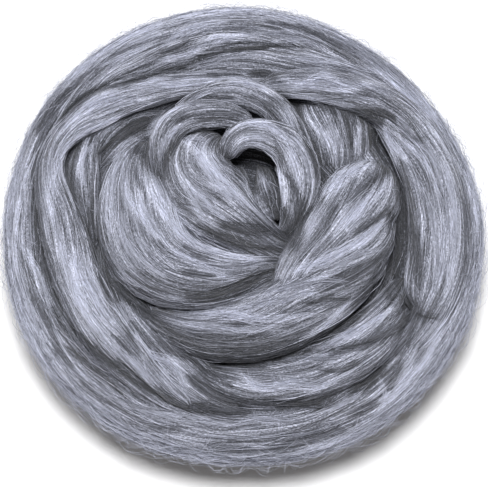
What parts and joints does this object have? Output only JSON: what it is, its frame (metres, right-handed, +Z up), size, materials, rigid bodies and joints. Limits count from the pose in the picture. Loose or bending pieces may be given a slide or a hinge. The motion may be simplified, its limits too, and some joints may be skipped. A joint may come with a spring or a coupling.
{
  "type": "nest of wool roving",
  "caption": "Round nest wound from one long untwisted rope of combed grey wool, with laps that lean inwards and curl round a small hollow.",
  "frame": {"origin": "on the surface that the nest rests on, under the middle of its outline", "axes": "+Z up through the open top of the nest, +Y away from the viewer, +X to the viewer's right"},
  "size_m": [0.198, 0.1974, 0.068],
  "materials": {
    "grey_wool": "matt combed fibre with silky light strands"
  },
  "bodies": {
    "root": {"roving_nest": "grey_wool"}
  },
  "joints": []
}
